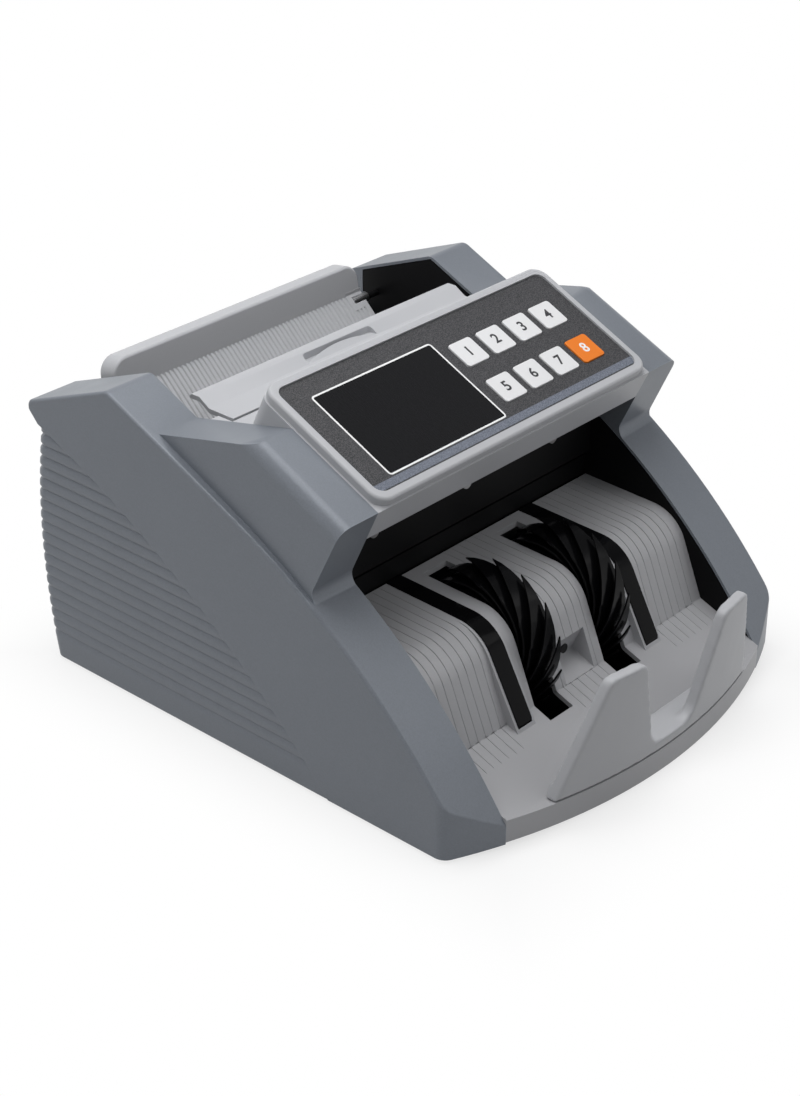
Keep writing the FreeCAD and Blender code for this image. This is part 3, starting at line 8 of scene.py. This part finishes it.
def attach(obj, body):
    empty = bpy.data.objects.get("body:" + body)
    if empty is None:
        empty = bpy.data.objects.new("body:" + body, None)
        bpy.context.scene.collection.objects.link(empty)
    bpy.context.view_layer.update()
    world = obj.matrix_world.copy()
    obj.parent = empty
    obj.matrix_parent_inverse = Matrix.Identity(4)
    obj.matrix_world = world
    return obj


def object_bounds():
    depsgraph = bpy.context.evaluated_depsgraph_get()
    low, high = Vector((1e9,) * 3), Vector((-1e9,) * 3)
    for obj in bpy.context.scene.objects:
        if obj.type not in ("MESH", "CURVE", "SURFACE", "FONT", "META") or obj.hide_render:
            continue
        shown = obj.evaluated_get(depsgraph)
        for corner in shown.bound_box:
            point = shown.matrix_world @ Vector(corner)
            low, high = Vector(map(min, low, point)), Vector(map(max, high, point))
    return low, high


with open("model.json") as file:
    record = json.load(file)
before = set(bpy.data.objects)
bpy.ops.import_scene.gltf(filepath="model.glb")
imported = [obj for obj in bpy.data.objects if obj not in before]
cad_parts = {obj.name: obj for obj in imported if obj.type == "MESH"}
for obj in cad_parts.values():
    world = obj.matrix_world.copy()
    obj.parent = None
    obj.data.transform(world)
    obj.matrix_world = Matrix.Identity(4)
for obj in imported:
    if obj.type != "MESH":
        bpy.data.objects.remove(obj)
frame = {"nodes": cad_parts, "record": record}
nodes = frame["nodes"]
cad_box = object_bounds()
MM = 0.001

# Tilted display panel, as the part has it
PANEL_TILT = math.radians(25)
CHIN = Vector((0, -51.5, 139.3)) * MM
PANEL = Matrix.Translation(CHIN) @ Matrix.Rotation(PANEL_TILT, 4, "X")
OVERLAY_TOP = 3.5
BAND_LOW, BAND_HIGH = 6.6, 10.6
SCREEN_X = (-78.4, -0.8)
SCREEN_Y = (12.4, 63.2)
SCREEN_CORNER = 1.0
LINE_WIDTH = 0.9
LINE_SINK, LINE_RISE = 0.2, 0.06
KEY_COUNT = 8
KEYS_IN_ROW = 4
KEY_TOP = 4.2
FIRST_KEY_X, FIRST_KEY_Y = 14.2, 50.7
KEY_PITCH, ROW_PITCH = 19.55, 25.3
DIGIT_SIZE = 8.2
DIGIT_STROKE = 0.16
PRINT_HALF_HEIGHT = 0.03
PRINT_LIFT = 0.02


# Shader maths

class Value:
    """A shader socket that plain arithmetic works on."""

    def __init__(self, tree, socket):
        self.tree = tree
        self.socket = socket

    def math(self, operation, *others):
        made = self.tree.nodes.new("ShaderNodeMath")
        made.operation = operation
        for slot, value in zip(made.inputs, (self,) + others):
            feed(self.tree, slot, value)
        return Value(self.tree, made.outputs[0])

    def __add__(self, other):
        return self.math("ADD", other)

    def __mul__(self, other):
        return self.math("MULTIPLY", other)

    def __sub__(self, other):
        return self.math("SUBTRACT", other)

    def __rsub__(self, other):
        return (self * -1) + other

    def __gt__(self, other):
        return self.math("GREATER_THAN", other)

    def __lt__(self, other):
        return self.math("LESS_THAN", other)

    def step(self, low, high):
        """Smooth change from 0 at low to 1 at high."""
        return node(self.tree, "ShaderNodeMapRange", {"interpolation_type": "SMOOTHSTEP"},
                    Value=self, From_Min=low, From_Max=high)


def feed(tree, slot, value):
    """Link a shader value to a socket, or set a constant on the socket itself."""
    if isinstance(value, Value):
        tree.links.new(value.socket, slot)
    else:
        slot.default_value = value


def node(tree, kind, settings=(), output=0, **inputs):
    """New node with inputs by name, or by number as _0, and one of its outputs as a value."""
    made = tree.nodes.new(kind)
    for name, value in dict(settings).items():
        setattr(made, name, value)
    for name, value in inputs.items():
        slot = made.inputs[int(name[1:])] if name[0] == "_" else made.inputs[name.replace("_", " ")]
        feed(tree, slot, value)
    return Value(tree, made.outputs[output])


class Finish:
    """A material with its surface coordinates and its main shader."""

    def __init__(self, name):
        self.material = bpy.data.materials.new(name)
        self.material.use_nodes = True
        self.tree = self.material.node_tree
        self.shader = self.tree.nodes["Principled BSDF"]
        self.place = node(self.tree, "ShaderNodeTexCoord", output=3)

    def noise(self, size, detail=2.0, rough=0.5, stretch=None):
        """Noise whose features are about size millimetres across."""
        place = self.place
        if stretch:
            place = node(self.tree, "ShaderNodeMapping", Vector=place, Scale=stretch)
        return node(self.tree, "ShaderNodeTexNoise", Vector=place, Scale=1 / (size * MM),
                    Detail=detail, Roughness=rough)

    def axis(self, number):
        """X, Y or Z of the surface point, in millimetres."""
        split = node(self.tree, "ShaderNodeSeparateXYZ", output=number, Vector=self.place)
        return split * 1000

    def mix(self, low, high, share):
        return node(self.tree, "ShaderNodeMix", {"data_type": "RGBA"}, output=2, _0=share,
                    _6=low if isinstance(low, Value) else (*low, 1),
                    _7=high if isinstance(high, Value) else (*high, 1))

    def rim(self, reach):
        """1 on the edges of the piece, fading to 0 within reach millimetres of them."""
        rounded = node(self.tree, "ShaderNodeBevel", {"samples": 4}, Radius=reach * MM)
        flat = node(self.tree, "ShaderNodeNewGeometry", output=1)
        same = node(self.tree, "ShaderNodeVectorMath", {"operation": "DOT_PRODUCT"}, output=1,
                    _0=rounded, _1=flat)
        return (1 - same).step(0.01, 0.22)

    def flakes(self, size):
        """One random tone for each cell about size millimetres across."""
        cells = node(self.tree, "ShaderNodeTexVoronoi", output=1, Vector=self.place, Scale=1 / (size * MM))
        grey = cells * 1.0
        return grey

    def bump(self, height, depth, strength):
        """Surface relief of a given depth in millimetres."""
        normal = node(self.tree, "ShaderNodeBump", Height=height, Strength=strength,
                      Distance=depth * MM)
        self.set(Normal=normal)

    def set(self, **inputs):
        for name, value in inputs.items():
            feed(self.tree, self.shader.inputs[name.replace("_", " ")], value)


def shade(colour, factor):
    return tuple(min(1.0, part * factor) for part in colour)


# The last factor sets how much paler the edges are painted: a painted highlight for light caught by small
# rounded edges.
def moulded(name, colour, rough=0.45, grain=0.5, relief=0.03, mottle=0.06, specular=0.4, edge_highlight=1.12):
    """Moulded plastic: fine spark-eroded grain, faint mottling, and edges painted paler as a painted
    highlight.
    """
    finish = Finish(name)
    fine = finish.noise(grain, 3.0, 0.6)
    broad = finish.noise(35.0, 2.0)
    smudge = finish.noise(11.0, 4.0, 0.6)
    # Edge mask for the painted highlight: the edges are lightened as if small rounded edges caught the
    # light.
    highlight_edges = finish.rim(0.7)
    tone = finish.mix(shade(colour, 1 - mottle), shade(colour, 1 + mottle), broad * 0.6 + fine * 0.4)
    # Painted highlight: the edges are paler, broken up by the smudge noise.
    tone = finish.mix(tone, shade(colour, edge_highlight), highlight_edges * (smudge * 0.6 + 0.4))
    finish.set(Base_Color=tone, Roughness=smudge * 0.14 + (rough - 0.07) - highlight_edges * 0.06,
               Specular_IOR_Level=specular)
    finish.bump(fine, relief, 0.6)
    return finish.material


def case_paint(name, colour):
    """Satin blue-grey paint with fine metal flakes, and edges painted a little paler as a painted highlight.
    """
    finish = Finish(name)
    flake = finish.flakes(0.55)
    fine = finish.noise(0.45, 2.0, 0.6)
    broad = finish.noise(60.0, 2.0)
    smudge = finish.noise(14.0, 4.0, 0.6)
    # Edge mask for the painted highlight: the edges are lightened as if small rounded edges caught the
    # light.
    highlight_edges = finish.rim(0.8)
    tone = finish.mix(shade(colour, 0.88), shade(colour, 1.12), flake * 0.55 + fine * 0.2 + broad * 0.25)
    # Painted highlight: the edges are 1.3 times paler, broken up by the smudge noise.
    tone = finish.mix(tone, shade(colour, 1.3), highlight_edges * (smudge * 0.6 + 0.4))
    finish.set(Base_Color=tone, Metallic=flake * 0.2 + 0.05, Roughness=smudge * 0.10 + flake * 0.08 + 0.30,
               Specular_IOR_Level=0.35)
    finish.bump(fine, 0.02, 0.5)
    return finish.material


def painted(name, colour, rough, specular):
    """Powder coat with orange peel."""
    finish = Finish(name)
    peel = finish.noise(1.6, 2.0)
    dust = finish.noise(18.0, 4.0, 0.65)
    tone = finish.mix(shade(colour, 0.85), shade(colour, 1.25), dust)
    finish.set(Base_Color=tone, Roughness=dust * 0.15 + (rough - 0.07), Specular_IOR_Level=specular)
    finish.bump(peel, 0.05, 0.5)
    return finish.material


def metal(name, colour, rough=0.28, along=(0.04, 1.0, 1.0)):
    """Turned or brushed metal with fine lines."""
    finish = Finish(name)
    lines = finish.noise(0.35, 3.0, 0.6, along)
    stain = finish.noise(9.0, 3.0)
    tone = finish.mix(shade(colour, 0.82), shade(colour, 1.08), stain)
    finish.set(Base_Color=tone, Metallic=1.0, Roughness=lines * 0.16 + (rough - 0.08))
    finish.bump(lines, 0.02, 0.35)
    return finish.material


def glossy(name, colour, rough=0.12, wave=4.0, specular=0.3):
    """Polished dark plastic with faint sink marks and hairline scuffs."""
    finish = Finish(name)
    sink = finish.noise(wave, 2.0)
    scuff = finish.noise(0.6, 4.0, 0.7, (1.0, 0.15, 0.15))
    tone = finish.mix(shade(colour, 0.8), shade(colour, 1.5), scuff)
    finish.set(Base_Color=tone, Roughness=scuff * 0.12 + (rough - 0.05), Specular_IOR_Level=specular)
    finish.bump(sink, 0.05, 0.5)
    return finish.material


def rubber(name, colour):
    finish = Finish(name)
    fine = finish.noise(0.8, 3.0, 0.6)
    dust = finish.noise(7.0, 4.0, 0.7)
    tone = finish.mix(colour, shade(colour, 1.9), dust)
    finish.set(Base_Color=tone, Roughness=dust * 0.15 + 0.72, Specular_IOR_Level=0.3)
    finish.bump(fine, 0.05, 0.6)
    return finish.material


def panel_film():
    """Printed film: dark speckled grey with a blue-grey band along its lower edge."""
    finish = Finish("panel film")
    along = (finish.axis(1) - CHIN.y / MM) * math.cos(PANEL_TILT)
    along = along + (finish.axis(2) - CHIN.z / MM) * math.sin(PANEL_TILT)
    speck = finish.noise(0.55, 2.0, 0.7)
    grit = finish.noise(0.9, 3.0, 0.8)
    dark = finish.mix((0.026, 0.026, 0.029), (0.092, 0.091, 0.096), speck.step(0.38, 0.66))
    dark = finish.mix(dark, (0.14, 0.14, 0.145), grit.step(0.60, 0.74) * 0.45)
    band = finish.mix((0.105, 0.117, 0.148), (0.215, 0.236, 0.285), speck.step(0.34, 0.70))
    tone = finish.mix(dark, band, (along > BAND_LOW) * (along < BAND_HIGH))
    finish.set(Base_Color=tone, Roughness=grit * 0.16 + 0.40, Specular_IOR_Level=0.3)
    finish.bump(speck, 0.03, 0.6)
    return finish.material


def board_green(name):
    finish = Finish(name)
    trace = finish.noise(2.4, 2.0, 0.4, (1.0, 0.2, 1.0))
    tone = finish.mix((0.012, 0.075, 0.03), (0.03, 0.16, 0.06), trace.step(0.46, 0.54))
    finish.set(Base_Color=tone, Roughness=trace * 0.1 + 0.3)
    finish.bump(trace, 0.05, 0.5)
    return finish.material


EVEN = (1.0, 1.0, 1.0)
LOOKS = {
    "cover_grey": case_paint("case paint", (0.194, 0.211, 0.239)),
    "black_metal": painted("black plate", (0.004, 0.004, 0.0045), rough=0.5, specular=0.1),
    "light_grey": moulded("pale plastic", (0.46, 0.465, 0.485), rough=0.42, relief=0.025, mottle=0.035),
    "tray_grey": moulded("tray plastic", (0.410, 0.410, 0.425), rough=0.40, mottle=0.04),
    "steel": metal("turned steel", (0.62, 0.62, 0.63)),
    "motor_steel": metal("zinc coated steel", (0.34, 0.34, 0.35), rough=0.4),
    "screw_steel": metal("screw steel", (0.55, 0.55, 0.56), rough=0.3, along=EVEN),
    "rubber_black": rubber("black rubber", (0.012, 0.012, 0.012)),
    "bronze": metal("sintered bronze", (0.50, 0.33, 0.15), rough=0.42, along=EVEN),
    "black_plastic": moulded("black plastic", (0.010, 0.010, 0.011), mottle=0.15, specular=0.25, edge_highlight=1.8),
    "rocker_black": glossy("rocker plastic", (0.010, 0.010, 0.011), rough=0.2),
    "pin_brass": metal("pin brass", (0.72, 0.58, 0.34), rough=0.25),
    "overlay_grey": panel_film(),
    "screen_black": glossy("screen glass", (0.008, 0.008, 0.009), rough=0.10, wave=30.0, specular=0.2),
    "board_green": board_green("circuit board"),
    "strip_black": glossy("strip plastic", (0.003, 0.003, 0.0035), rough=0.10, wave=6.0, specular=0.07),
    "wheel_black": glossy("wheel plastic", (0.0025, 0.0025, 0.003), rough=0.17, wave=3.0, specular=0.12),
    "pulley_black": moulded("pulley plastic", (0.02, 0.02, 0.02), rough=0.5, mottle=0.1, specular=0.3,
                            edge_highlight=1.4),
    "key_white": moulded("key plastic", (0.74, 0.74, 0.75), rough=0.38, grain=0.4, relief=0.015, mottle=0.02,
                         edge_highlight=1.05),
    "key_orange": moulded("orange key plastic", (0.80, 0.20, 0.015), rough=0.38, grain=0.4, relief=0.015,
                          mottle=0.04),
    "supply_aluminium": metal("folded aluminium", (0.60, 0.60, 0.61), rough=0.35, along=(1.0, 0.05, 1.0)),
}
INK = moulded("key print", (0.035, 0.035, 0.04), rough=0.5, grain=0.3, relief=0.01, mottle=0.1)
LINE = moulded("white print", (0.82, 0.82, 0.82), grain=0.3, relief=0.01, mottle=0.02)

for part in frame["record"]["subparts"]:
    data = nodes[part["node"]].data
    data.materials.clear()
    data.materials.append(LOOKS[part["material_slot"]])


# Softened edges on the moulded pieces

WELD_GAP = 0.002
BEVEL_STEPS = 2


def soften(name, width, angle=35):
    """Small radius on the sharp edges of a moulded piece."""
    piece = nodes[name]
    weld = piece.modifiers.new("weld", "WELD")
    weld.merge_threshold = WELD_GAP * MM
    bevel = piece.modifiers.new("edges", "BEVEL")
    bevel.width = width * MM
    bevel.segments = BEVEL_STEPS
    bevel.limit_method = "ANGLE"
    bevel.angle_limit = math.radians(angle)
    bevel.loop_slide = False
    for face in piece.data.polygons:
        face.use_smooth = True
    smooth = piece.modifiers.new("normals", "WEIGHTED_NORMAL")
    smooth.keep_sharp = True


def round_over(name, grid, passes):
    """Thick rounded edges on a piece whose short edges would stop a bevel."""
    piece = nodes[name]
    even = piece.modifiers.new("even mesh", "REMESH")
    even.mode = "VOXEL"
    even.voxel_size = grid * MM
    even.use_smooth_shade = True
    smooth = piece.modifiers.new("rounding", "SMOOTH")
    smooth.factor = 0.5
    smooth.iterations = passes


# Camera and light

MIDDLE = Vector((0, 0, 0.1))


def camera():
    data = bpy.data.cameras.new("camera")
    eye = bpy.data.objects.new("camera", data)
    bpy.context.scene.collection.objects.link(eye)
    data.sensor_width = 36.0
    data.lens = 71.504
    data.clip_start = 0.01
    data.clip_end = 50.0
    eye.location = (-0.69836, -0.60329, 0.57588)
    look = Vector((0.65065, 0.58367, -0.48578))
    eye.rotation_mode = "QUATERNION"
    eye.rotation_quaternion = look.to_track_quat("-Z", "Y")
    bpy.context.scene.camera = eye


def area_light(name, place, size, power):
    """Soft rectangular lamp that faces the middle of the object."""
    data = bpy.data.lights.new(name, "AREA")
    data.shape = "RECTANGLE"
    data.size, data.size_y = size
    data.energy = power
    lamp = bpy.data.objects.new(name, data)
    bpy.context.scene.collection.objects.link(lamp)
    lamp.location = place
    lamp.rotation_mode = "QUATERNION"
    lamp.rotation_quaternion = (MIDDLE - Vector(place)).to_track_quat("-Z", "Y")


def ray(tree, kind):
    """1 for light paths of one kind, such as Is Camera Ray."""
    paths = tree.nodes.new("ShaderNodeLightPath")
    return Value(tree, paths.outputs[kind])


def studio():
    """White surroundings for the eye, softer grey ones for the light."""
    world = bpy.data.worlds.new("studio")
    bpy.context.scene.world = world
    world.use_nodes = True
    tree = world.node_tree
    tree.nodes.clear()
    white = node(tree, "ShaderNodeBackground", Color=(1, 1, 1, 1), Strength=1.0)
    sky_light = 0.34
    soft = node(tree, "ShaderNodeBackground", Color=(0.97, 0.985, 1, 1), Strength=sky_light)
    way = node(tree, "ShaderNodeTexCoord", output=0)
    height = node(tree, "ShaderNodeSeparateXYZ", output=2, Vector=way)
    wall_foot, wall_top = 0.25, 0.60
    wall = 1 - height.step(wall_foot, wall_top)
    gloss = ray(tree, "Is Glossy Ray") + ray(tree, "Is Transmission Ray")
    seen = ray(tree, "Is Camera Ray").math("MAXIMUM", gloss * wall)
    both = node(tree, "ShaderNodeMixShader", _0=seen, _1=soft, _2=white)
    out = tree.nodes.new("ShaderNodeOutputWorld")
    tree.links.new(both.socket, out.inputs[0])
    area_light("top softbox", place=(-0.05, 0.10, 0.72), size=(0.6, 0.6), power=3.5)
    area_light("front fill", place=(0.55, -0.85, 0.95), size=(0.8, 0.7), power=2.1)
    area_light("left fill", place=(-0.75, 0.45, 0.75), size=(0.45, 0.45), power=1.1)


def floor():
    """Pale floor that is white away from the object and keeps its soft shadow near it."""
    mesh = bpy.data.meshes.new("floor")
    side = 6.0
    corners = [(-side, -side, 0), (side, -side, 0), (side, side, 0), (-side, side, 0)]
    mesh.from_pydata(corners, [], [(0, 1, 2, 3)])
    ground = bpy.data.objects.new("floor", mesh)
    bpy.context.scene.collection.objects.link(ground)
    finish = Finish("studio floor")
    tree = finish.tree
    gloss = ray(tree, "Is Glossy Ray") + ray(tree, "Is Transmission Ray")
    eye = ray(tree, "Is Camera Ray").math("MAXIMUM", gloss)
    cloud = finish.noise(400.0, 2.0)
    pale = finish.mix((0.90, 0.90, 0.90), (0.93, 0.93, 0.93), cloud)
    finish.set(Base_Color=finish.mix((0.42, 0.42, 0.42), pale, eye), Roughness=0.8, Specular_IOR_Level=0.1)
    beside = finish.axis(0).math("ABSOLUTE") - cad_box[1][0] / MM
    before = finish.axis(1).math("ABSOLUTE") - cad_box[1][1] / MM
    fade_start, fade_end = -40, 50
    clear = beside.math("MAXIMUM", before).step(fade_start, fade_end)
    glow = node(tree, "ShaderNodeEmission", Color=(1, 1, 1, 1), Strength=1.0)
    lit = Value(tree, finish.shader.outputs[0])
    near_glow = 0.65
    glow_share = clear * (1 - near_glow) + near_glow
    mixed = node(tree, "ShaderNodeMixShader", _0=eye * glow_share, _1=lit, _2=glow)
    tree.links.new(mixed.socket, tree.nodes["Material Output"].inputs[0])
    mesh.materials.append(finish.material)


# Pieces that only the eye needs

def on_panel(x, y, z):
    return PANEL @ (Vector((x, y, z)) * MM)


def link(name, mesh, material, body):
    piece = bpy.data.objects.new(name, mesh)
    bpy.context.scene.collection.objects.link(piece)
    mesh.materials.clear()
    mesh.materials.append(material)
    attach(piece, body)


def rounded_loop(x0, x1, y0, y1, radius, steps=4):
    """Corner points of a rounded rectangle, in order."""
    points = []
    for cx, cy, start in ((x1 - radius, y1 - radius, 0), (x0 + radius, y1 - radius, 90),
                          (x0 + radius, y0 + radius, 180), (x1 - radius, y0 + radius, 270)):
        for step in range(steps + 1):
            turn = math.radians(start + 90 * step / steps)
            points.append((cx + radius * math.cos(turn), cy + radius * math.sin(turn)))
    return points


def printed_frame(name, x0, x1, y0, y1, radius, width, low, high, material, slot):
    """Thin printed line round a rectangle on the panel."""
    inner = rounded_loop(x0, x1, y0, y1, radius)
    outer = rounded_loop(x0 - width, x1 + width, y0 - width, y1 + width, radius + width)
    shape = bmesh.new()
    rings = []
    for loop, height in ((outer, low), (outer, high), (inner, high), (inner, low)):
        rings.append([shape.verts.new(on_panel(x, y, height)) for x, y in loop])
    count = len(inner)
    for one, two in ((0, 1), (1, 2), (2, 3)):
        for i in range(count):
            j = (i + 1) % count
            shape.faces.new((rings[one][i], rings[one][j], rings[two][j], rings[two][i]))
    bmesh.ops.recalc_face_normals(shape, faces=shape.faces)
    mesh = bpy.data.meshes.new(name)
    shape.to_mesh(mesh)
    shape.free()
    link(name, mesh, material, "chassis")


def key_number(number, x, y):
    """Plain number printed on a key."""
    curve = bpy.data.curves.new("digit", "FONT")
    curve.body = str(number)
    curve.align_x = "CENTER"
    curve.align_y = "CENTER"
    curve.size = DIGIT_SIZE * MM
    curve.offset = DIGIT_STROKE * MM
    curve.extrude = PRINT_HALF_HEIGHT * MM
    text = bpy.data.objects.new("digit", curve)
    bpy.context.scene.collection.objects.link(text)
    bpy.context.view_layer.update()
    mesh = bpy.data.meshes.new_from_object(text)
    bpy.data.objects.remove(text)
    mesh.transform(PANEL @ Matrix.Translation(Vector((x, y, KEY_TOP + PRINT_LIFT)) * MM))
    name = "key_number_" + str(number)
    mesh.name = name
    material = LINE if number == KEY_COUNT else INK
    link(name, mesh, material, "key_" + str(number) + "_cap")


camera()
studio()
floor()
for name in ("left_side_cover", "right_side_cover"):
    soften(name, 0.5, angle=40)
round_over("note_stop", grid=0.8, passes=18)
for name, width in (("feed_cover", 0.5), ("hopper_plate", 0.25), ("display_housing", 0.45),
                    ("stacker_tray", 0.25), ("rear_cover", 0.5), ("panel_overlay", 0.15),
                    ("switch_rocker", 0.4), ("gap_knob", 0.3), ("power_inlet", 0.4), ("switch_frame", 0.3),
                    ("guide_strips", 0.25)):
    soften(name, width)
for name in ("left_stacker_wheel", "right_stacker_wheel"):
    soften(name, 0.15)
for number in range(1, KEY_COUNT + 1):
    soften("key_" + str(number), 0.3)

printed_frame("screen_line", *SCREEN_X, *SCREEN_Y, SCREEN_CORNER, LINE_WIDTH,
              OVERLAY_TOP - LINE_SINK, OVERLAY_TOP + LINE_RISE, LINE, "key_white")
for number in range(1, KEY_COUNT + 1):
    row, column = divmod(number - 1, KEYS_IN_ROW)
    key_number(number, FIRST_KEY_X + KEY_PITCH * column, FIRST_KEY_Y - ROW_PITCH * row)

bpy.context.scene.view_settings.view_transform = "Standard"
bpy.context.view_layer.update()
